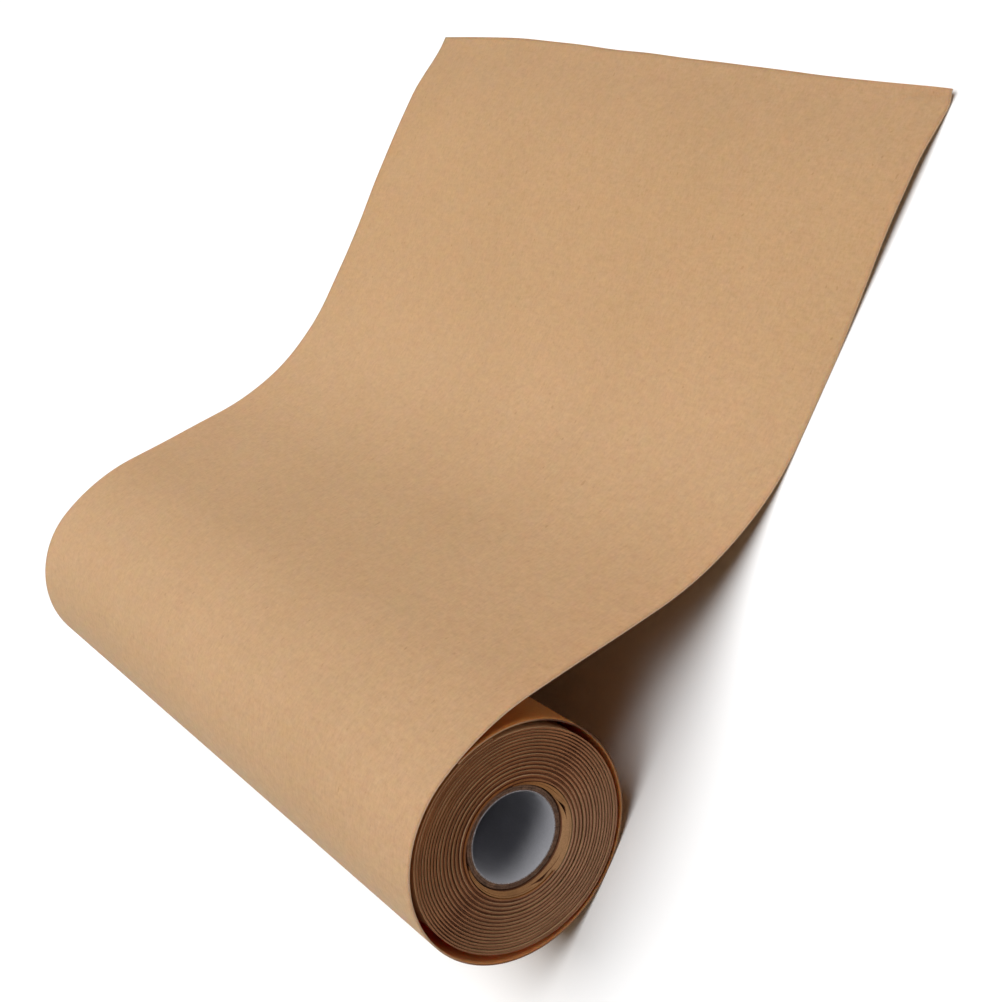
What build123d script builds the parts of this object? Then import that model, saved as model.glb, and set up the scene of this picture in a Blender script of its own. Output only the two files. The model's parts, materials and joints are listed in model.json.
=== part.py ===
"""A roll of brown wrapping paper that lies on a table with its first length drawn out.

Frame: the origin is the centre of the core's bore, halfway along the roll.
+X runs along the roll, +Y is the way the paper is drawn out, +Z is up.
Every profile is drawn in the YZ plane, as (y, z), and extruded along X.
All sizes are in millimetres and degrees.
"""
from build123d import *
import os
from math import acos, cos, degrees, radians, sin

# Paper
PAPER_WIDTH = 300.0
PAPER = 0.45                    # thickness

# Core: a spiral-wound board tube, slightly shorter than the paper is wide
BORE_RADIUS = 13.3
LINER = 0.30                    # white paper that lines the bore
PLY = 0.74                      # each of the two board plies
GLUE_FILM = 0.02                # between one ply and the next
CORE_RECESS = 0.8               # from the paper's edge to the core's end

# Winding: its turns are round about a centre below the core, which the folded start pushes up
ROLL_CENTRE = (-0.5, -1.78)
FIRST_TURN_RADIUS = 16.9        # middle of the paper, at the inner end
LAST_TURN_RADIUS = 33.26        # middle of the paper, at the outer end
TURNS = 15 + 7 / 12             # a whole number of arcs, ARC_STEP long
FIRST_PITCH = 1.32              # the turns lie closer together towards the outside
WINDING_START = 254.0           # direction of the inner end, seen from the roll's centre
LOOSE_EDGE = 4.0                # the turns stand apart this far in from each edge, and are tight inside

# Folded start of the paper, which fills the crescent between the core and the first turn
FOLD_FROM = 130.0
FOLD_TO = 380.0
FOLD_GAP = 0.10                 # to the first turn
FOLD_STEP = 0.5                 # degrees from the winding's inner end to the fold's step over it
SLITS = ((239.0, 16.9, 8.0), (316.0, 16.4, 7.0))    # direction, radius and half width from the core
SLIT_HEIGHT = 0.5

# Glue that holds the folded start on the core
GLUE = 0.16
GLUE_FROM = 225.0
GLUE_TO = 285.0
GLUE_END_MARGIN = 10.0
CONTACT_GAP = 0.01

# Loose outer turn: wider than it is high
WRAP_RADIUS = 34.2              # middle of the paper, at the top and the bottom
BACK_BULGE = 1.8
FRONT_BULGE = 1.2
WRAP_TUCKED_END = 410.0         # direction of the end that is tucked under the drawn sheet

# Drawn sheet: round the roll, down a straight slope and out onto the table
LEAVE_TURN = 15.0               # still bent as the loose turn is
SHOULDER_RADIUS = 80.0
SLOPE = 40.0
LANDING_RADIUS = 101.0

# Free end: hinged where the sheet has come to lie flat
HINGE_Y = 150.0
HINGE_GAP = 0.4                 # each side of the hinge line
END_FLAT = 4.0
ARCH_RISE_RADIUS = 600.0
ARCH_RISE = 3.6
ARCH_FALL_RADIUS = 420.0
END_SKEW = 16.7                 # the free edge is this much shorter at +X than at -X

HALF_WIDTH = PAPER_WIDTH / 2
SIDE = PAPER / 2
ARC_STEP = 30.0                 # each round stretch is made of arcs of about this many degrees


def polar(radius, direction, centre=(0.0, 0.0)):
    """The point at a radius and a direction from a centre."""
    angle = radians(direction)
    return (centre[0] + radius * cos(angle), centre[1] + radius * sin(angle))


def arcs_along(curve, first, last):
    """Arcs that follow curve(direction) from one direction to another."""
    count = max(1, round(abs(last - first) / ARC_STEP))
    step = (last - first) / count
    starts = [first + i * step for i in range(count)]
    return [ThreePointArc(curve(a), curve(a + step / 2), curve(a + step)) for a in starts]


def band(inner, outer, first, last):
    """The face between two curves, closed by a line at each end."""
    edges = arcs_along(inner, first, last) + arcs_along(outer, first, last)
    edges += [Line(inner(first), outer(first)), Line(inner(last), outer(last))]
    return make_face(edges)


def across(face, width):
    """A face of the YZ plane, extruded over a width that is centred on the roll's middle."""
    return extrude(Plane.YZ * face, amount=width / 2, both=True)


def turn_radius(turn):
    """Radius of the paper's middle after a number of turns, counted from the inner end."""
    closing = (FIRST_TURN_RADIUS + FIRST_PITCH * TURNS - LAST_TURN_RADIUS) / TURNS**2
    return FIRST_TURN_RADIUS + FIRST_PITCH * turn - closing * turn**2


def winding_curve(offset):
    """The wound paper's path, by direction; the paper runs outward as the direction falls."""
    def curve(direction):
        radius = turn_radius((WINDING_START - direction) / 360) + offset
        return polar(radius, direction, ROLL_CENTRE)
    return curve


def wrap_curve(offset):
    """The loose outer turn's path, by direction."""
    def curve(direction):
        reach = cos(radians(direction))
        bulge = FRONT_BULGE if reach > 0 else BACK_BULGE
        return polar(WRAP_RADIUS + bulge * reach**2 + offset, direction, ROLL_CENTRE)
    return curve


def run_beside(start, runs, side):
    """Edges at a distance to the left of a path that starts level and has straight and round runs.

    A run is (length, 0) for a straight, or (radius, turn) for an arc that turns left by an angle.
    Gives the edges and the path's own end point.
    """
    y, z = start
    heading = 0.0
    edges = []

    def beside(point, direction):
        angle = radians(direction)
        return (point[0] - side * sin(angle), point[1] + side * cos(angle))

    for size, turn in runs:
        first = beside((y, z), heading)
        if turn == 0:
            y, z = polar(size, heading, (y, z))
            edges.append(Line(first, beside((y, z), heading)))
            continue
        to_centre = 90.0 if turn > 0 else -90.0
        centre = polar(size, heading + to_centre, (y, z))
        middle = polar(size, heading - to_centre + turn / 2, centre)
        y, z = polar(size, heading - to_centre + turn, centre)
        second = beside(middle, heading + turn / 2)
        heading += turn
        edges.append(ThreePointArc(first, second, beside((y, z), heading)))
    return edges, (y, z)


def sheet_profile(start, runs):
    """The face of a sheet of paper whose middle follows a path, and the path's end point."""
    upper, end = run_beside(start, runs, SIDE)
    lower, end = run_beside(start, runs, -SIDE)
    closing = [Line(upper[0] @ 0, lower[0] @ 0), Line(upper[-1] @ 1, lower[-1] @ 1)]
    return make_face(upper + lower + closing), end


def tube(inner_radius, wall, length):
    """A tube about the core's axis."""
    ring = Circle(inner_radius + wall) - Circle(inner_radius)
    return across(ring, length)


CORE_LENGTH = PAPER_WIDTH - 2 * CORE_RECESS
INNER_PLY_RADIUS = BORE_RADIUS + LINER + GLUE_FILM
OUTER_PLY_RADIUS = INNER_PLY_RADIUS + PLY + GLUE_FILM
CORE_RADIUS = OUTER_PLY_RADIUS + PLY
SHEET_START = (ROLL_CENTRE[0], ROLL_CENTRE[1] + WRAP_RADIUS)
LYING_Z = ROLL_CENTRE[1] - WRAP_RADIUS      # middle of the paper where it lies on the table


def core_liner():
    return tube(BORE_RADIUS, LINER, CORE_LENGTH)


def core_inner_ply():
    return tube(INNER_PLY_RADIUS, PLY, CORE_LENGTH)


def core_outer_ply():
    return tube(OUTER_PLY_RADIUS, PLY, CORE_LENGTH)


def start_glue():
    """A strip of glue along the core."""
    inside = CORE_RADIUS + CONTACT_GAP

    def inner(direction):
        return polar(inside, direction)

    def outer(direction):
        return polar(inside + GLUE, direction)

    return across(band(inner, outer, GLUE_FROM, GLUE_TO), CORE_LENGTH - 2 * GLUE_END_MARGIN)


def start_fold():
    """The paper's first length, folded flat on itself and pressed round the underside of the core."""
    inside = CORE_RADIUS + GLUE + 2 * CONTACT_GAP
    first_turn = winding_curve(-SIDE - FOLD_GAP)

    def along_core(direction):
        return polar(inside, direction)

    def behind_first_turn(direction):
        return first_turn(direction - 360)

    step = WINDING_START + FOLD_STEP
    edges = arcs_along(along_core, FOLD_FROM, FOLD_TO)
    edges += arcs_along(first_turn, FOLD_FROM, WINDING_START)
    edges += arcs_along(behind_first_turn, step, FOLD_TO)
    edges.append(Line(along_core(FOLD_FROM), first_turn(FOLD_FROM)))
    edges.append(Line(first_turn(WINDING_START), behind_first_turn(step)))
    edges.append(Line(behind_first_turn(FOLD_TO), along_core(FOLD_TO)))
    face = make_face(edges)
    for direction, radius, half_width in SLITS:
        ends = [polar(radius, direction + turn) for turn in (-half_width, half_width)]
        sides = [polar(radius + bow, direction) for bow in (-SLIT_HEIGHT / 2, SLIT_HEIGHT / 2)]
        face -= make_face([ThreePointArc(ends[0], side, ends[1]) for side in sides])
    return across(face, PAPER_WIDTH)


def one_turn(curve, first):
    """The face inside one turn of a curve that runs outward as the direction falls."""
    last = first - 360
    return make_face(arcs_along(curve, first, last) + [Line(curve(first), curve(last))])


def winding():
    """The wound paper, from the end of its folded start to the loose outer turn.

    Inside the roll the turns are tight; at both ends the paper's edges stand apart.
    """
    last = WINDING_START - 360 * TURNS
    tight = one_turn(winding_curve(SIDE), last + 360) - one_turn(winding_curve(-SIDE), WINDING_START)
    wound = across(tight, PAPER_WIDTH - 2 * LOOSE_EDGE)
    edge = band(winding_curve(-SIDE), winding_curve(SIDE), WINDING_START, last)
    for side in (-1, 1):
        from_plane = Plane.YZ.offset(side * (HALF_WIDTH - LOOSE_EDGE))
        wound += extrude(from_plane * edge, amount=side * LOOSE_EDGE)
    return wound


def outer_wrap():
    """The loose turn round the roll, from its tucked end back to the top."""
    return across(band(wrap_curve(-SIDE), wrap_curve(SIDE), WRAP_TUCKED_END, 90.0), PAPER_WIDTH)


def sheet_slope():
    """The drawn sheet from the roll's top down to the table, with a flat stretch up to the hinge."""
    shoulder = [(WRAP_RADIUS, -LEAVE_TURN), (SHOULDER_RADIUS, LEAVE_TURN - SLOPE)]
    shoulder_end = run_beside(SHEET_START, shoulder, 0)[1]
    landing_drop = LANDING_RADIUS * (1 - cos(radians(SLOPE)))
    straight = (shoulder_end[1] - LYING_Z - landing_drop) / sin(radians(SLOPE))
    runs = shoulder + [(straight, 0), (LANDING_RADIUS, SLOPE)]
    landed_y = run_beside(SHEET_START, runs, 0)[1][0]
    print(f"straight slope {straight:.1f}, lands at y {landed_y:.1f}")
    runs.append((HINGE_Y - HINGE_GAP - landed_y, 0))
    return across(sheet_profile(SHEET_START, runs)[0], PAPER_WIDTH)


def sheet_end():
    """The sheet's free end, slightly arched by its curl, with its cut edge a little askew."""
    start = (HINGE_Y + HINGE_GAP, LYING_Z)
    rise = [(END_FLAT, 0), (ARCH_RISE_RADIUS, ARCH_RISE)]
    height = run_beside(start, rise, 0)[1][1] - LYING_Z
    height += ARCH_FALL_RADIUS * (1 - cos(radians(ARCH_RISE)))
    fall = degrees(acos(1 - height / ARCH_FALL_RADIUS))
    profile, end = sheet_profile(start, rise + [(ARCH_FALL_RADIUS, -ARCH_RISE - fall)])
    print(f"arch {height:.2f} high, free edge at y {end[0]:.1f}")
    far_side = Plane.YZ.offset(-HALF_WIDTH) * profile
    skew = Vector(PAPER_WIDTH, -END_SKEW, 0)
    sheet = extrude(far_side, amount=skew.length, dir=skew)
    side_to_hinge = (Align.CENTER, Align.MAX, Align.CENTER)
    before_hinge = Box(2 * PAPER_WIDTH, 4 * END_SKEW, PAPER_WIDTH, align=side_to_hinge)
    return sheet - Pos(0, start[0], 0) * before_hinge


NODES = {
    "core_liner": core_liner,
    "core_inner_ply": core_inner_ply,
    "core_outer_ply": core_outer_ply,
    "start_glue": start_glue,
    "start_fold": start_fold,
    "winding": winding,
    "outer_wrap": outer_wrap,
    "sheet_slope": sheet_slope,
    "sheet_end": sheet_end,
}

os.makedirs("parts", exist_ok=True)
for name, make in NODES.items():
    solid = make()
    export_step(solid, f"parts/{name}.step")
    print(f"{name}: volume {solid.volume:.0f}, box {solid.bounding_box()}")
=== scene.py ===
"""The looks of a roll of brown wrapping paper that lies on a table with its first length drawn out.

Everything is in metres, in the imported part's frame: the origin is the centre of the core's bore, +X runs
along the roll, +Y is the way the paper is drawn out and +Z is up. Directions round the roll are in degrees
from +Y towards +Z.
"""
import json
import math

import bpy
import numpy as np
from mathutils import Matrix, Vector


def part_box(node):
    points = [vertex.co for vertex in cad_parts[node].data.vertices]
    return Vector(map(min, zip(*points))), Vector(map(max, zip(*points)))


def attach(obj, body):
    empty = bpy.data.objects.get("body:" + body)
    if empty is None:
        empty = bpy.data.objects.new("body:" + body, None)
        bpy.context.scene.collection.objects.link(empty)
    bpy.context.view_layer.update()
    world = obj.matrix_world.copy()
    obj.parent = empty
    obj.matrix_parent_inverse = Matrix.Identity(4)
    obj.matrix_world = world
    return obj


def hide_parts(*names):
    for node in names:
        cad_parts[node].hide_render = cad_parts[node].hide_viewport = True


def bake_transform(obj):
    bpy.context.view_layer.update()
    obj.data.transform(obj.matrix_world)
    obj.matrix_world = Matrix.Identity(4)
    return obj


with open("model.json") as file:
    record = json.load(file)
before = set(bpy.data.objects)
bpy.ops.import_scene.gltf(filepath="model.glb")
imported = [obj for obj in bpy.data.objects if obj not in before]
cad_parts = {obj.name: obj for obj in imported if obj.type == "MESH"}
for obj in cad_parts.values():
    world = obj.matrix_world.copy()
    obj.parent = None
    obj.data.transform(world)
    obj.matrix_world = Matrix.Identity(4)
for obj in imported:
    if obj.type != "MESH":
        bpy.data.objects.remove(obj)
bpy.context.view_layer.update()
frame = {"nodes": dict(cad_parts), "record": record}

MM = 0.001

# ---------------------------------------------------------------- sizes that the frame gives
JOINTS = {joint["name"]: joint for joint in frame["record"]["behaviour"]["joints"]}
MOUNTS = {mount["name"]: mount for mount in frame["record"]["mounts"]}
ROLL_CENTRE = np.array(JOINTS["roll_spin"]["pos_m"][1:])
LYING_Z = JOINTS["sheet_lift"]["pos_m"][2]
BORE_RADIUS = MOUNTS["core_bore"]["dims"]["r_mm"] * MM
TABLE_Z = MOUNTS["table_face"]["pos_m"][2]
HALF_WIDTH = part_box("winding")[1].x
CORE_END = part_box("core_liner")[1].x
LINER_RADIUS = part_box("core_liner")[1].y
INNER_PLY_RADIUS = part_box("core_inner_ply")[1].y
CORE_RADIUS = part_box("core_outer_ply")[1].y

# ---------------------------------------------------------------- the drawn sheet
PAPER = 0.45 * MM
WRAP_LOW, WRAP_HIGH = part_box("outer_wrap")
WRAP_RADIUS = (WRAP_HIGH.z - WRAP_LOW.z - PAPER) / 2
BACK_BULGE = ROLL_CENTRE[0] - WRAP_LOW.y - PAPER / 2 - WRAP_RADIUS
FRONT_BULGE = WRAP_HIGH.y - ROLL_CENTRE[0] - PAPER / 2 - WRAP_RADIUS
TUCKED_END = 424.0                                  # the direction in which the loose turn's own end lies
TUCKED_FROM = 375.0                                 # it is tucked in from here on
TUCKED_IN = 0.62 * MM                               # the tucked end lies this much nearer to the winding
FRONT_SHARE = 0.7                                   # of the CAD solid's front bulge, which is a little full
SHOULDER = ((WRAP_RADIUS, 15.0), (80 * MM, 25.0))   # radius and turn of each round run after the roll's top
SLOPE = 40.0
LANDING_RADIUS = 101 * MM
FAR_EDGE_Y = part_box("sheet_end")[1].y
EDGE_SKEW = 16.6 * MM                               # the free edge is this much shorter at +X
SQUARE_PART = 0.2                                   # of the free edge, cut square before it runs askew
ARCH = 2.5 * MM                                     # how high the lying part's low arch stands at +X
ARCH_MORE = 0.6 * MM                                # and how much higher at -X
CORNER_LIFT = 1.6 * MM                              # the free edge's corner at +X curls up
SHEET_STEP = 1.4 * MM                               # between two rows of its mesh
SHEET_COLUMNS = 161

# ---------------------------------------------------------------- the winding, the fold and the core
FIRST_TURN_RADIUS = 16.9 * MM
LAST_TURN_RADIUS = 33.26 * MM
TURNS = 15 + 7 / 12
FIRST_PITCH = 1.32 * MM
WINDING_START = 254.0                               # the direction in which the first turn starts
POINTS_A_TURN = 150
LOOSENESS = 0.045 * MM                              # how much the turns wander in and out
HAIR_GAP = 0.13 * MM                                # the dark line each side of a turn
PRESSED_AT = 85.0                                   # the drawn sheet presses the outer turns flatter here,
PRESSED_BY = 0.60 * MM                              # by this much at most,
PRESSED_WIDTH = 42.0                                # over about this many degrees each way
FOLD_GAP = 0.26 * MM                                # between the core and the fold
FIRST_SLIT = (239.0, 7.0, 0.80 * MM)                # each of the fold's slits: direction, width, height
SECOND_SLIT = (318.0, 8.0, 0.75 * MM)
PLY_GAP = 0.02 * MM                                 # the film of glue between two plies of the core
LINER_PITCH = 78 * MM                               # of the helix on which the bore's paper is wound

# ---------------------------------------------------------------- the paper's painted light and shade, partly its own tone
# painted warm shade: the tucked end lies in the dim gap under the drawn sheet
TUCKED_PAINTED_SHADE = (0.80, 0.48, 0.20)                         # where the web is tucked in, as warm as in the photo

# painted light and shade, partly the paper's own tone: a paler painted sheen over the roll's top, darker
# towards the free edge
# along the paper's faces: (metres from the start of the piece, colour), matched to the photo's shades
FACE_TONE_AND_PAINTED_LIGHT = ((0.0, TUCKED_PAINTED_SHADE), (0.06, TUCKED_PAINTED_SHADE), (0.10, (0.93, 0.94, 0.98)), (0.215, (0.98, 0.98, 1.0)),
               (0.25, (0.955, 0.95, 0.95)), (0.29, (0.98, 0.98, 0.985)), (0.34, (0.98, 0.98, 0.99)),
               (0.38, (0.94, 0.93, 0.90)), (0.43, (0.92, 0.905, 0.86)), (0.47, (0.87, 0.855, 0.83)))
# painted warm shade on the sheet's under face near the roll, where it hangs over the dim gap
UNDER_PAINTED_SHADE = ((0.0, (0.95, 0.66, 0.40)), (0.24, (0.95, 0.66, 0.40)), (0.34, (0.92, 0.90, 0.85)))

# painted light and shade along the sheet's own cut edge, likewise: dark where it is tucked round the roll,
# pale where it hangs free in the light
SHEET_EDGE_PAINTED_LIGHT = ((0.0, (0.38, 0.21, 0.11)), (0.02, (0.38, 0.21, 0.11)),
                     (0.03, (0.11, 0.045, 0.022)), (0.058, (0.11, 0.045, 0.022)),
                     (0.07, (0.29, 0.155, 0.082)), (0.112, (0.29, 0.155, 0.082)),
                     (0.124, (0.19, 0.070, 0.028)), (0.14, (0.19, 0.070, 0.028)),
                     (0.16, (0.46, 0.29, 0.17)), (0.2, (0.64, 0.43, 0.27)))

# painted shade round the winding's cut edges, likewise: (degrees, colour)
EDGE_PAINTED_SHADE = ((0, (0.66, 0.53, 0.37)), (35, (0.445, 0.29, 0.145)), (65, (0.455, 0.295, 0.145)),
               (90, (0.54, 0.385, 0.22)), (120, (0.465, 0.335, 0.19)), (150, (0.63, 0.53, 0.40)),
               (205, (0.56, 0.49, 0.39)), (240, (0.75, 0.69, 0.64)), (270, (1.0, 1.0, 1.0)),
               (300, (1.0, 1.0, 1.0)), (330, (0.77, 0.69, 0.58)), (360, (0.66, 0.53, 0.37)))

# ---------------------------------------------------------------- camera, light and floor
CAMERA_PLACE = Vector((498.2, 73.9, 300.6)) * MM
CAMERA_AZIMUTH = 88.76
CAMERA_ELEVATION = 35.63
CAMERA_ROLL = -64.97
CAMERA_LENS = 60.39
SENSOR = 36.0
FLOOR_RADIUS = 1.6
LAMP_PLACE = (-0.12, 0.08, 4.75)
LAMP_TARGET = (0, 0.08, 0)
LAMP_SIDE = 5.5
LAMP_WATTS = 397
SKY_LOW = 0.006                                     # the world's light from below
SKY_HIGH = 0.027                                    # and from above


# ---------------------------------------------------------------- small helpers
def smooth(low, high, value):
    """0 below low, 1 above high, smooth between."""
    t = np.clip((value - low) / (high - low), 0, 1)
    return t * t * (3 - 2 * t)


def ripples(seed, x, y, wavelength, count=7):
    """A smooth random height between about -1 and 1, from a few waves of about that length."""
    rng = np.random.default_rng(seed)
    total = np.zeros(np.broadcast(x, y).shape)
    for _ in range(count):
        heading = rng.uniform(0, math.tau)
        number = math.tau / (wavelength * rng.uniform(0.7, 1.6))
        onward = x * math.cos(heading) + y * math.sin(heading)
        total = total + np.sin(number * onward + rng.uniform(0, math.tau))
    return total / math.sqrt(count)


def radial(radius, degrees):
    """Points (y, z) at a radius and direction from the roll's centre."""
    angle = np.radians(degrees)
    return ROLL_CENTRE + np.stack([radius * np.cos(angle), radius * np.sin(angle)], -1)


def distance_along(line):
    """The distance from a line's start to each of its points."""
    return np.concatenate([[0], np.cumsum(np.linalg.norm(np.diff(line, axis=0), axis=1))])


def even_steps(points, step):
    """The same line again as evenly spaced points, with the distance along it of each."""
    along = distance_along(points)
    at = np.linspace(0, along[-1], math.ceil(along[-1] / step) + 1)
    return np.stack([np.interp(at, along, points[:, k]) for k in range(2)], -1), at


def over_width(line, x):
    """A grid of points: a line (y, z) repeated at each x across the roll."""
    return np.stack([x, line[:, :1] + 0 * x, line[:, 1:] + 0 * x], -1)


def new_mesh(name, vertices, faces, uv=None, material_of=None):
    """A mesh object, with a UV for each vertex and a material index for each face."""
    mesh = bpy.data.meshes.new(name)
    mesh.from_pydata(vertices.tolist(), [], faces)
    if uv is not None:
        layer = mesh.uv_layers.new(name="paper")
        loop_vertex = np.zeros(len(mesh.loops), int)
        mesh.loops.foreach_get("vertex_index", loop_vertex)
        layer.data.foreach_set("uv", uv[loop_vertex].ravel().astype(np.float32))
    if material_of is not None:
        mesh.polygons.foreach_set("material_index", np.array(material_of, np.int32))
    mesh.validate()
    mesh.update()
    piece = bpy.data.objects.new(name, mesh)
    bpy.context.collection.objects.link(piece)
    return piece


def quads(rows, columns, first, flip=False):
    """Faces of a grid of vertices that are numbered row by row."""
    at = first + np.arange(rows * columns).reshape(rows, columns)
    faces = np.stack([at[:-1, :-1], at[1:, :-1], at[1:, 1:], at[:-1, 1:]], -1).reshape(-1, 4)
    return (faces[:, ::-1] if flip else faces).tolist()


def paper_shell(middle, along, thickness, edge=2):
    """A sheet of paper with two faces and cut edges, from a grid of points down its middle.

    The thickness is a single value, or one for each row of the grid. The outer face has material index 0, the
    inner one, which is the under side of a lying sheet, has 1, and the cut edges have the edge's index.
    """
    rows, columns, _ = middle.shape
    down = np.gradient(middle, axis=0)
    side = np.gradient(middle, axis=1)
    normal = np.cross(down, side)
    normal /= np.linalg.norm(normal, axis=2, keepdims=True)
    half = np.broadcast_to(thickness, rows)[:, None, None] / 2
    outer, inner = middle + normal * half, middle - normal * half
    vertices = np.concatenate([outer.reshape(-1, 3), inner.reshape(-1, 3)])
    count = rows * columns
    faces = quads(rows, columns, 0) + quads(rows, columns, count, flip=True)
    materials = [1] * (len(faces) // 2) + [0] * (len(faces) // 2)
    grid = np.arange(count).reshape(rows, columns)
    rim = np.concatenate([grid[:, 0], grid[-1, 1:], grid[::-1, -1][1:], grid[0, ::-1][1:]])
    for a, b in zip(rim[:-1].tolist(), rim[1:].tolist()):
        faces.append([b, a, a + count, b + count])
        materials.append(edge)
    uv = np.stack([middle[..., 0], np.broadcast_to(along[:, None], (rows, columns))], -1).reshape(-1, 2)
    return vertices, faces, np.concatenate([uv, uv]), materials


def paper_piece(name, shells, materials):
    """One piece from one or more paper shells, with smooth faces and crisp cut edges."""
    vertices, faces, uvs, indices = [], [], [], []
    for points, polygons, uv, index in shells:
        first = sum(len(v) for v in vertices)
        vertices.append(points)
        faces += [[corner + first for corner in polygon] for polygon in polygons]
        uvs.append(uv)
        indices += index
    piece = new_mesh(name, np.concatenate(vertices), faces, np.concatenate(uvs), indices)
    piece.data.polygons.foreach_set("use_smooth", np.array(indices) < 2)
    for material in materials:
        piece.data.materials.append(material)
    return piece


# ---------------------------------------------------------------- materials
class Nodes:
    """A material's node tree, built with short calls."""

    def __init__(self, name):
        self.material = bpy.data.materials.new(name)
        self.material.use_nodes = True
        self.tree = self.material.node_tree
        self.tree.nodes.clear()
        self.output = self.tree.nodes.new("ShaderNodeOutputMaterial")
        self.shader = self.tree.nodes.new("ShaderNodeBsdfPrincipled")
        self.tree.links.new(self.shader.outputs[0], self.output.inputs[0])

    def new(self, kind, inputs=None, **settings):
        node = self.tree.nodes.new("ShaderNode" + kind)
        for key, value in settings.items():
            setattr(node, key, value)
        for key, value in (inputs or {}).items():
            self.put(node.inputs[key], value)
        return node

    def put(self, socket, value):
        """Sets a socket to a number or colour, or links another node's output to it."""
        if isinstance(value, bpy.types.NodeSocket):
            self.tree.links.new(value, socket)
        else:
            socket.default_value = value

    def coordinates(self, scale, uv=True):
        """Texture coordinates in metres times a scale for each direction."""
        source = self.new("TexCoord").outputs["UV" if uv else "Object"]
        return self.new("Mapping", {"Vector": source, "Scale": scale}).outputs[0]

    def noise(self, vector, scale, detail=3.0, roughness=0.5):
        inputs = {"Vector": vector, "Scale": scale, "Detail": detail, "Roughness": roughness}
        return self.new("TexNoise", inputs).outputs[0]

    def ramp(self, factor, stops):
        """A colour ramp; each stop is (position, colour)."""
        node = self.new("ValToRGB", {"Fac": factor})
        elements = node.color_ramp.elements
        for element, (position, colour) in zip(elements, (stops[0], stops[-1])):
            element.position, element.color = position, (*colour, 1)
        for position, colour in stops[1:-1]:
            elements.new(position).color = (*colour, 1)
        return node.outputs[0]

    def math(self, operation, *values):
        node = self.new("Math", operation=operation)
        for socket, value in zip(node.inputs, values):
            self.put(socket, value)
        return node.outputs[0]

    def spread(self, factor, low, high):
        """A factor of 0 to 1, stretched over low to high."""
        inputs = {"Value": factor, "To Min": low, "To Max": high}
        return self.new("MapRange", inputs).outputs[0]

    def mix(self, kind, factor, a, b):
        node = self.new("Mix", data_type="RGBA", blend_type=kind)
        for socket, value in zip((node.inputs[0], node.inputs[6], node.inputs[7]), (factor, a, b)):
            self.put(socket, value)
        return node.outputs[2]

    def bump(self, height, distance, strength=1.0, under=None):
        inputs = {"Height": height, "Distance": distance, "Strength": strength}
        if under is not None:
            inputs["Normal"] = under
        return self.new("Bump", inputs).outputs[0]

    def along_the_web(self, stops):
        """A colour by the distance along the web from its start; each stop is (metres, colour)."""
        along = self.new("SeparateXYZ", {"Vector": self.new("TexCoord").outputs["UV"]}).outputs[1]
        whole = stops[-1][0]
        shares = [(metres / whole, colour) for metres, colour in stops]
        return self.ramp(self.math("DIVIDE", along, whole), shares)

    def round_the_roll(self, stops):
        """A colour by the direction round the roll's centre; each stop is (degrees, colour)."""
        split = self.new("SeparateXYZ", {"Vector": self.new("TexCoord").outputs["Object"]})
        across = self.math("SUBTRACT", split.outputs[1], ROLL_CENTRE[0])
        up = self.math("SUBTRACT", split.outputs[2], ROLL_CENTRE[1])
        turns = self.math("DIVIDE", self.math("ARCTAN2", up, across), math.tau)
        share = self.math("FRACT", self.math("ADD", turns, 1.0))
        return self.ramp(share, [(degrees / 360, colour) for degrees, colour in stops])

    def glow_through(self, share, reach, depths):
        """Lets a share of the light through, with its reach and the depth that each of its colours goes."""
        self.shader.inputs["Subsurface Weight"].default_value = share
        self.shader.inputs["Subsurface Scale"].default_value = reach
        self.shader.inputs["Subsurface Radius"].default_value = depths

    def finish(self, colour, roughness, normal=None, specular=0.3):
        self.put(self.shader.inputs["Base Color"], colour)
        self.put(self.shader.inputs["Roughness"], roughness)
        self.put(self.shader.inputs["Specular IOR Level"], specular)
        if normal is not None:
            self.put(self.shader.inputs["Normal"], normal)
        return self.material


def kraft_face(name, tone_and_painted_light, thin=False):
    """The web's face: mottled brown with fibres that run mostly along the web.

    The tone and painted light and shade are (distance along the web, colour) stops. Light comes through a
    thin single sheet, more of its red than of its blue.
    """
    n = Nodes(name)
    cloud = n.noise(n.coordinates((1, 0.6, 1)), 14, 3, 0.6)
    mottle = n.noise(n.coordinates((1, 0.85, 1)), 210, 4, 0.7)
    fibre = n.noise(n.coordinates((1, 0.4, 1)), 980, 4, 0.75)
    cross_fibre = n.noise(n.coordinates((0.35, 1, 1)), 800, 3, 0.75)
    grain = n.noise(n.coordinates((1, 1, 1)), 3600, 2, 0.6)
    base = n.ramp(cloud, ((0.3, (0.488, 0.302, 0.157)), (0.7, (0.516, 0.319, 0.170))))
    base = n.mix("MULTIPLY", 1.0, base, n.along_the_web(tone_and_painted_light))
    mottled = ((0.25, (0.93, 0.93, 0.92)), (0.5, (0.985, 0.985, 0.985)), (0.75, (1.035, 1.035, 1.04)))
    colour = n.mix("MULTIPLY", 1.0, base, n.ramp(mottle, mottled))
    fibres = n.math("ADD", n.math("MULTIPLY", fibre, 0.6), n.math("MULTIPLY", cross_fibre, 0.4))
    fibred = n.ramp(fibres, ((0.34, (0.87, 0.845, 0.80)), (0.5, (1, 1, 1)), (0.64, (1.10, 1.105, 1.12))))
    colour = n.mix("MULTIPLY", 0.9, colour, fibred)
    specks = n.noise(n.coordinates((1, 0.6, 1)), 520, 1, 0.5)
    speck = n.ramp(specks, ((0.72, (1, 1, 1)), (0.78, (0.78, 0.72, 0.66))))
    colour = n.mix("MULTIPLY", 0.7, colour, speck)
    height = n.math("ADD", fibres, n.math("MULTIPLY", grain, 0.35))
    relief = n.bump(height, 0.00006, 0.55)
    relief = n.bump(mottle, 0.00022, 0.35, relief)
    if thin:
        n.glow_through(0.7, 1.3 * MM, (1.0, 0.36, 0.12))
    return n.finish(colour, n.spread(fibres, 0.62, 0.82), relief)


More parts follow.
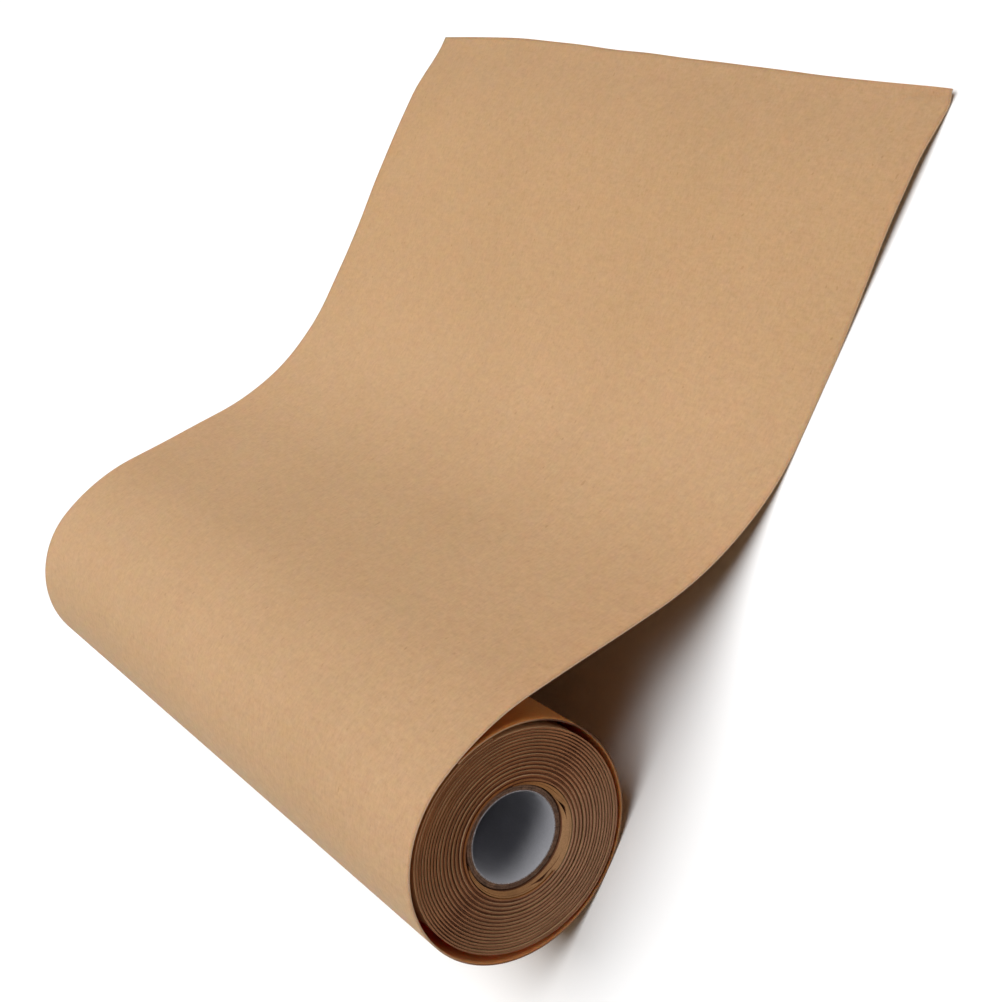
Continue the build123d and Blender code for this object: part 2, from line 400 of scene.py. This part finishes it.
def kraft_edge(name, light, dark, streak, with_painted_shade=True):
    """The web's cut edges: pale broken fibres and rubbed darker streaks, with painted shade round the roll if
    asked.
    """
    n = Nodes(name)
    where = n.coordinates((1, 1, 1), uv=False)
    fibre = n.noise(where, 2200, 3, 0.7)
    patch = n.noise(where, 90, 2, 0.5)
    colour = n.ramp(fibre, ((0.3, dark), (0.7, light)))
    streaks = n.ramp(patch, ((0.35, (0.72, 0.70, 0.68)), (0.65, (1.08, 1.08, 1.08))))
    colour = n.mix("MULTIPLY", streak, colour, streaks)
    # painted shade by direction round the roll
    if with_painted_shade:
        colour = n.mix("MULTIPLY", 1.0, colour, n.round_the_roll(EDGE_PAINTED_SHADE))
    return n.finish(colour, n.spread(fibre, 0.75, 0.95), n.bump(fibre, 0.00008, 0.7), 0.2)


def kraft_sheet_edge():
    """The sheet's own cut edge, with painted light and shade along it."""
    n = Nodes("kraft_sheet_edge")
    where = n.coordinates((1, 1, 1), uv=False)
    fibre = n.noise(where, 2200, 3, 0.7)
    fibres = n.ramp(fibre, ((0.3, (0.7, 0.7, 0.7)), (0.7, (1.1, 1.1, 1.1))))
    colour = n.mix("MULTIPLY", 0.5, n.along_the_web(SHEET_EDGE_PAINTED_LIGHT), fibres)
    return n.finish(colour, n.spread(fibre, 0.75, 0.95), n.bump(fibre, 0.00008, 0.7), 0.2)


def chipboard():
    """The core's plies: grey-brown recycled board with dark and pale flecks."""
    n = Nodes("chipboard")
    where = n.coordinates((1, 1, 1), uv=False)
    fibre = n.noise(where, 1500, 4, 0.75)
    fleck = n.noise(where, 520, 2, 0.6)
    patch = n.noise(where, 380, 3, 0.6)
    colour = n.ramp(fibre, ((0.3, (0.080, 0.043, 0.026)), (0.7, (0.218, 0.124, 0.080))))
    patches = n.ramp(patch, ((0.3, (0.62, 0.62, 0.66)), (0.7, (1.25, 1.20, 1.14))))
    colour = n.mix("MULTIPLY", 0.9, colour, patches)
    flecks = n.ramp(fleck, ((0.66, (0, 0, 0)), (0.74, (0.55, 0.55, 0.55))))
    colour = n.mix("MIX", flecks, colour, (0.32, 0.25, 0.19, 1))
    return n.finish(colour, n.spread(fibre, 0.8, 0.98), n.bump(fibre, 0.00015, 0.8), 0.15)


def bore_paper():
    """The white paper that lines the bore, wound on a helix with a fine seam."""
    n = Nodes("bore_paper")
    where = n.coordinates((1, 1, 1), uv=False)
    split = n.new("SeparateXYZ", {"Vector": where})
    angle = n.math("DIVIDE", n.math("ARCTAN2", split.outputs[2], split.outputs[1]), math.tau)
    strip = n.math("FRACT", n.math("ADD", n.math("DIVIDE", split.outputs[0], LINER_PITCH), angle))
    seam = n.ramp(strip, ((0.0, (0, 0, 0)), (0.009, (1, 1, 1))))
    fibre = n.noise(where, 1600, 3, 0.65)
    cloud = n.noise(where, 60, 3, 0.6)
    colour = n.ramp(cloud, ((0.3, (0.43, 0.43, 0.46)), (0.7, (0.50, 0.50, 0.53))))
    fibres = n.ramp(fibre, ((0.3, (0.86, 0.86, 0.86)), (0.7, (1.08, 1.08, 1.08))))
    colour = n.mix("MULTIPLY", 0.5, colour, fibres)
    colour = n.mix("MULTIPLY", 0.6, colour, seam)
    relief = n.bump(seam, 0.0001, 0.6, n.bump(fibre, 0.00005, 0.5))
    return n.finish(colour, n.spread(fibre, 0.5, 0.7), relief, 0.3)


def dried_glue():
    """The strip of glue on the core."""
    n = Nodes("dried_glue")
    where = n.coordinates((1, 1, 1), uv=False)
    lump = n.noise(where, 320, 3, 0.6)
    colour = n.ramp(lump, ((0.3, (0.45, 0.36, 0.22)), (0.7, (0.62, 0.54, 0.38))))
    return n.finish(colour, n.spread(lump, 0.3, 0.5), n.bump(lump, 0.0001, 0.6), 0.4)


def table_top():
    """The plain pale floor."""
    n = Nodes("table_top")
    haze = n.noise(n.coordinates((1, 1, 1), uv=False), 2.0, 2, 0.5)
    colour = n.ramp(haze, ((0.3, (0.90, 0.90, 0.90)), (0.7, (0.92, 0.92, 0.92))))
    return n.finish(colour, 0.9, specular=0.1)


# ---------------------------------------------------------------- the drawn sheet
def wrap_line():
    """(y, z) down the middle of the loose outer turn, from its tucked end to the roll's top."""
    degrees = np.linspace(TUCKED_END, 90.0, 640)
    reach = np.cos(np.radians(degrees))
    bulge = np.where(reach > 0, FRONT_SHARE * FRONT_BULGE, BACK_BULGE) * reach**2
    tucked_in = TUCKED_IN * smooth(TUCKED_FROM, TUCKED_END, degrees)
    return radial(WRAP_RADIUS + bulge - tucked_in, degrees)


def towards(heading):
    """A unit step (y, z) in a direction."""
    return np.array([math.cos(math.radians(heading)), math.sin(math.radians(heading))])


def round_run(start, heading, radius, turn, count=80):
    """(y, z) along an arc from a point and a heading; a positive turn is to the left, upward."""
    side = math.copysign(90, turn)
    centre = start + radius * towards(heading + side)
    angles = np.radians(np.linspace(heading - side, heading - side + turn, count))
    return centre + radius * np.stack([np.cos(angles), np.sin(angles)], -1)


def sheet_line():
    """(y, z) down the middle of the whole sheet with the distance along it, and the y where it has landed."""
    line = [wrap_line()]
    heading = 0.0
    for radius, turn in SHOULDER:
        line.append(round_run(line[-1][-1], heading, radius, -turn))
        heading -= turn
    landing_drop = LANDING_RADIUS * (1 - math.cos(math.radians(SLOPE)))
    top = line[-1][-1]
    straight = (top[1] - LYING_Z - landing_drop) / math.sin(math.radians(SLOPE))
    line.append(top + straight * np.array([[0.02], [1]]) * towards(-SLOPE))
    line.append(round_run(line[-1][-1], -SLOPE, LANDING_RADIUS, SLOPE))
    landed = line[-1][-1]
    line.append(np.array([[FAR_EDGE_Y, landed[1]]]))
    return even_steps(np.concatenate(line), SHEET_STEP), landed[0]


def drawn_sheet(materials):
    """The loose outer turn, the slope and the free end as one sheet."""
    (line, along), landed_y = sheet_line()
    columns = np.linspace(-1, 1, SHEET_COLUMNS)
    x = np.broadcast_to(columns * HALF_WIDTH, (len(line), len(columns)))
    y = np.repeat(line[:, :1], len(columns), 1)
    z = np.repeat(line[:, 1:], len(columns), 1)
    s = np.repeat(along[:, None], len(columns), 1)

    # the free edge is cut square at -X and then askew, so the last stretch is shortened towards +X
    near = (x / HALF_WIDTH + 1) / 2
    lying = smooth(landed_y, landed_y + 1 * MM, y)
    past_square = near - SQUARE_PART
    askew = (past_square + np.sqrt(past_square**2 + 0.05**2)) / 2 / (1 - SQUARE_PART)
    shorter = EDGE_SKEW * askew + 0.10 * MM * ripples(3, x, 0 * x, 45 * MM)
    share = np.clip((y - landed_y) / (FAR_EDGE_Y - landed_y), 0, 1)
    y = y - lying * share * shorter

    # its curl lifts it in a low arch that comes down again at the free edge
    t = np.clip((share - 0.12) / 0.88, 0, 1)
    rise = smooth(0, 0.62, t) * (1 - smooth(0.72, 0.98, t))
    z = z + rise * (ARCH + ARCH_MORE * (1 - near))
    z = z + CORNER_LIFT * smooth(0.955, 1.0, share) * smooth(0.80, 1.0, near)

    # it isn't quite even: long shallow waves on the slope and the lying part, less round the roll
    free = smooth(0.004, 0.05, y) * smooth(-0.02, 0.02, z - TABLE_Z + 0.012)
    z = z + 0.22 * MM * ripples(11, x, s, 130 * MM) * free
    clear = smooth(0.02, 0.06, y) * smooth(0.4 * MM, 2.5 * MM, z - TABLE_Z)
    z = z + 0.10 * MM * ripples(12, x, s, 38 * MM) * clear
    z = np.maximum(z, TABLE_Z + PAPER / 2)
    middle = np.stack([x, y, z], -1)
    shell = paper_shell(middle, along, PAPER)
    length = along[-1] - EDGE_SKEW * (1 - SQUARE_PART) / 2
    return paper_piece("paper_sheet", [shell], materials), length


# ---------------------------------------------------------------- the winding
def turn_radius(turn):
    """The spiral's radius after a number of turns; each turn is wound a little closer than the one before."""
    closing = (FIRST_TURN_RADIUS + FIRST_PITCH * TURNS - LAST_TURN_RADIUS) / TURNS**2
    return FIRST_TURN_RADIUS + FIRST_PITCH * turn - closing * turn**2


def wound_strip(turn, offset, thickness, recess, seed, edge):
    """One strip of the winding, at an offset outward from the turns' middle, with its edges drawn back."""
    inside = smooth(0, 0.6, turn) * (1 - smooth(TURNS - 0.5, TURNS, turn))
    wander = LOOSENESS * ripples(21, turn, 0 * turn, 1.3, 9) * inside
    degrees = WINDING_START - 360 * turn
    from_top = (degrees - PRESSED_AT + 180) % 360 - 180
    outward = smooth(20 * MM, LAST_TURN_RADIUS, turn_radius(turn))
    pressed = PRESSED_BY * np.exp(-((from_top / PRESSED_WIDTH) ** 2)) * outward
    line = radial(turn_radius(turn) + wander + offset - pressed, degrees)
    along = distance_along(line)
    columns = np.array([-1, -0.996, -0.98, -0.93, -0.5, 0, 0.5, 0.93, 0.98, 0.996, 1])
    x = np.repeat(columns[None, :] * HALF_WIDTH, len(line), 0)
    for side in (-1, 1):
        slow = ripples(seed + side, turn, 0 * turn, 2.3, 9)
        quick = ripples(seed + 10 + side, turn, 0 * turn, 0.11, 9)
        drawn_back = np.clip(recess + 0.10 * MM * slow + 0.04 * MM * quick, 0, 1.5 * MM)
        at_end = np.clip((columns * side - 0.93) / 0.07, 0, 1)
        x = x - side * at_end[None, :] * drawn_back[:, None]
    return paper_shell(over_width(line, x), along, thickness, edge), along[-1]


def wound_paper(materials):
    """The wound turns, from the folded start to the loose outer turn.

    Each turn is a strip whose edge shows, with a second one against it that lies a little further in.
    """
    turn = np.linspace(0, TURNS, math.ceil(TURNS * POINTS_A_TURN))
    strip, length = wound_strip(turn, 0, PAPER, 0.16 * MM, 22, 2)
    turn = turn[turn < TURNS - 1]
    pitch = turn_radius(turn + 1) - turn_radius(turn)
    space = pitch - PAPER - 2 * HAIR_GAP
    between, more = wound_strip(turn, pitch / 2, space, 0.55 * MM, 52, 3)
    return paper_piece("wound_paper", [strip, between], materials), length + more


# ---------------------------------------------------------------- the folded start
def fold_thickness(degrees):
    """The room between the core and the wound paper's first turns, in a direction from the bore's centre."""
    turn = np.where(degrees < WINDING_START, WINDING_START - degrees, WINDING_START + 360 - degrees) / 360
    angle = np.radians(degrees)
    shift = ROLL_CENTRE[0] * np.cos(angle) + ROLL_CENTRE[1] * np.sin(angle)
    return turn_radius(turn) - PAPER - 0.2 * MM + shift - CORE_RADIUS - FOLD_GAP


def fold_band(low, high, start, end, seed, edge):
    """One flat run of the fold, between two radii that vary with direction, over the roll's whole width."""
    degrees = np.linspace(start, end, 160)
    angle = np.radians(degrees)
    middle_radius = CORE_RADIUS + FOLD_GAP + (low(degrees) + high(degrees)) / 2
    line = np.stack([middle_radius * np.cos(angle), middle_radius * np.sin(angle)], -1)[::-1]
    columns = np.array([-1, -0.996, -0.98, -0.5, 0, 0.5, 0.98, 0.996, 1])
    x = np.repeat(columns[None, :] * HALF_WIDTH, len(line), 0)
    for side in (-1, 1):
        drawn_back = 0.25 * MM + 0.08 * MM * ripples(seed + side, angle, 0 * angle, 1.2, 9)
        at_end = np.clip((columns * side - 0.98) / 0.02, 0, 1)
        x = x - side * at_end[None, :] * np.clip(drawn_back, 0, MM)[:, None]
    thickness = (high(degrees) - low(degrees))[::-1]
    return paper_shell(over_width(line, x), distance_along(line), thickness, edge)


def folded_start(materials):
    """The web's first length, folded flat round the core, with a slit at each end of the fold."""
    def slit(degrees, direction, width, height):
        return np.exp(-(((degrees - direction) / width) ** 2)) * height

    def slits(degrees):
        """The gap outside the innermost run."""
        return slit(degrees, *FIRST_SLIT) + slit(degrees, *SECOND_SLIT) + 0.03 * MM

    def flap(degrees):
        """How high the innermost run of the fold stands on the core."""
        directions = (130, 165, 190, 215, 232, 248, 262, 290, 303, 312, 322, 332, 336, 380)
        heights = (0.10, 0.25, 0.60, 1.00, 1.15, 1.50, 1.95, 2.00, 1.60, 1.10, 0.55, 0.20, 0.05, 0.00)
        return np.interp(degrees, directions, np.array(heights) * MM)

    def outer(degrees):
        return np.maximum(fold_thickness(degrees), 0.10 * MM)

    def over(share):
        """A share of the room that is left outside the flap and its slits."""
        def height(degrees):
            room = outer(degrees)
            low = np.minimum(flap(degrees) + slits(degrees), room - 0.5 * np.minimum(room, 0.9 * MM))
            return low + share * (room - low)
        return height

    bands = [
        fold_band(lambda d: 0 * d, lambda d: np.minimum(flap(d), over(0)(d) - 0.02 * MM), 136, 335, 71, 2),
        fold_band(over(0), over(0.55), 140, 392, 74, 3),
        fold_band(over(0.60), over(1), 140, 392, 77, 3),
    ]
    return paper_piece("folded_start", bands, materials)


# ---------------------------------------------------------------- the core
def tube_piece(name, inner, outer, seed, ragged, materials):
    """A tube with slightly ragged sawn ends; the materials are its wall's and its ends'."""
    around = 360
    angle = np.linspace(0, math.tau, around, endpoint=False)
    inset = 0.12 * (outer - inner)
    radii = (inner, inner, inner, inner + inset, (inner + outer) / 2, outer - inset, outer, outer)
    inward = np.array((60, 8, 0.10, 0, 0, 0, 0.10, 60)) * MM
    worn = np.array((0, 0, 1, 1, 1, 1, 1, 0))
    section = []
    for side in (1, -1):
        for k in range(len(radii))[::side]:
            rough = ragged * np.abs(ripples(seed + side + 5 * k, angle * outer, 0 * angle, 1.6 * MM, 12))
            x = side * (CORE_END - inward[k] - rough * worn[k])
            section.append(np.stack([x, radii[k] * np.cos(angle), radii[k] * np.sin(angle)], -1))
    points = np.concatenate(section)
    faces, indices = [], []
    rings = len(section)
    step = np.arange(around)
    following = (step + 1) % around
    for ring in range(rings):
        a, b = ring * around, (ring + 1) % rings * around
        faces += np.stack([a + step, a + following, b + following, b + step], -1).tolist()
        at_end = 2 <= ring % len(radii) <= 5 if ring < len(radii) else 1 <= ring % len(radii) <= 4
        indices += [int(at_end)] * around
    piece = new_mesh(name, points, faces, material_of=indices)
    for polygon in piece.data.polygons:
        polygon.use_smooth = True
    piece.data.set_sharp_from_angle(angle=math.radians(50))
    for material in materials:
        piece.data.materials.append(material)
    return piece


# ---------------------------------------------------------------- build
FACE = kraft_face("kraft_face", FACE_TONE_AND_PAINTED_LIGHT, thin=True)
UNDER_FACE = kraft_face("kraft_under_face", UNDER_PAINTED_SHADE, thin=True)
WOUND_FACE = kraft_face("kraft_wound_face", FACE_TONE_AND_PAINTED_LIGHT)
# the winding's and the fold's cut edges carry the painted shade round the roll
WOUND_EDGE = kraft_edge("kraft_wound_edge", (0.50, 0.247, 0.146), (0.32, 0.151, 0.082), 0.7)
# painted shade: dark kraft on the strip between the wound turns and on the fold's faces, seen only in the
# shadowed gaps and slits
INNER_PAINTED_SHADE = kraft_edge("kraft_inner_painted_shade", (0.25, 0.103, 0.050), (0.155, 0.059, 0.026), 0.8)
FOLD_EDGE = kraft_edge("kraft_fold_edge", (0.55, 0.300, 0.142), (0.39, 0.207, 0.093), 0.6)
BOARD = chipboard()
LINER_EDGE = kraft_edge("liner_edge", (0.55, 0.51, 0.53), (0.16, 0.135, 0.13), 0.9, with_painted_shade=False)

sheet, sheet_length = drawn_sheet([FACE, UNDER_FACE, kraft_sheet_edge()])
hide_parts("outer_wrap", "sheet_slope", "sheet_end")
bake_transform(sheet)

wound, wound_length = wound_paper([WOUND_FACE, WOUND_FACE, WOUND_EDGE, INNER_PAINTED_SHADE])
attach(wound, "roll")
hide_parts("winding")

# the fold's faces take the painted shade of its slits
fold = folded_start([INNER_PAINTED_SHADE, INNER_PAINTED_SHADE, FOLD_EDGE, FOLD_EDGE])
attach(fold, "roll")
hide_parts("start_fold")

LINED = (bore_paper(), LINER_EDGE)
BARE = (BOARD, BOARD)
for name, node, slot, inner, outer, seed, materials in (
    ("bore_liner", "core_liner", "liner_paper", BORE_RADIUS, LINER_RADIUS, 41, LINED),
    ("core_ply_inner", "core_inner_ply", "core_board", LINER_RADIUS + PLY_GAP, INNER_PLY_RADIUS, 61, BARE),
    ("core_ply_outer", "core_outer_ply", "core_board", INNER_PLY_RADIUS + PLY_GAP, CORE_RADIUS, 81, BARE),
):
    tube = tube_piece(name, inner, outer, seed, 0.06 * MM, materials)
    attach(tube, "roll")
    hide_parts(node)

frame["nodes"]["start_glue"].data.materials.clear()
frame["nodes"]["start_glue"].data.materials.append(dried_glue())


# ---------------------------------------------------------------- stage, light and camera
def stage():
    """A plain pale floor; past it there is only white."""
    around = np.linspace(0, math.tau, 96, endpoint=False)
    rim = FLOOR_RADIUS * np.stack([np.cos(around), np.sin(around), 0 * around], -1)
    floor = new_mesh("table", rim + [0, 0, TABLE_Z - 0.1 * MM], [list(range(len(rim)))])
    floor.data.materials.append(table_top())


def lamp():
    """One large soft lamp overhead."""
    data = bpy.data.lights.new("overhead", "AREA")
    data.shape = "SQUARE"
    data.size = LAMP_SIDE
    data.energy = LAMP_WATTS
    light = bpy.data.objects.new("overhead", data)
    light.location = LAMP_PLACE
    light.rotation_euler = (Vector(LAMP_TARGET) - Vector(LAMP_PLACE)).to_track_quat("-Z", "Y").to_euler()
    bpy.context.collection.objects.link(light)


def sky():
    """A faint light from all round, brighter from above; the camera itself sees white."""
    world = bpy.data.worlds.new("studio")
    world.use_nodes = True
    nodes, links = world.node_tree.nodes, world.node_tree.links
    nodes["Background"].inputs[0].default_value = (1, 1, 1, 1)
    direction = nodes.new("ShaderNodeTexCoord")
    split = nodes.new("ShaderNodeSeparateXYZ")
    fade = nodes.new("ShaderNodeMapRange")
    links.new(direction.outputs["Generated"], split.inputs[0])
    links.new(split.outputs[2], fade.inputs["Value"])
    fade.inputs["To Min"].default_value = SKY_LOW
    fade.inputs["To Max"].default_value = SKY_HIGH
    seen = nodes.new("ShaderNodeMath")
    seen.operation = "MAXIMUM"
    links.new(fade.outputs[0], seen.inputs[0])
    links.new(nodes.new("ShaderNodeLightPath").outputs["Is Camera Ray"], seen.inputs[1])
    links.new(seen.outputs[0], nodes["Background"].inputs[1])
    bpy.context.scene.world = world


def camera():
    """The photo's view: from above the roll's near end, with the camera rolled."""
    azimuth, elevation = math.radians(CAMERA_AZIMUTH), math.radians(CAMERA_ELEVATION)
    level = Vector((math.sin(azimuth), -math.cos(azimuth), 0))
    back = level * math.cos(elevation) + Vector((0, 0, math.sin(elevation)))
    upright = (-back).to_track_quat("-Z", "Y")
    data = bpy.data.cameras.new("camera")
    data.sensor_width = SENSOR
    data.lens = CAMERA_LENS
    data.clip_start = 0.01
    eye = bpy.data.objects.new("camera", data)
    eye.rotation_mode = "QUATERNION"
    eye.rotation_quaternion = upright @ Matrix.Rotation(math.radians(CAMERA_ROLL), 3, "Z").to_quaternion()
    eye.location = CAMERA_PLACE
    bpy.context.collection.objects.link(eye)
    bpy.context.scene.camera = eye


stage()
lamp()
sky()
camera()
bpy.context.scene.view_settings.view_transform = "Standard"
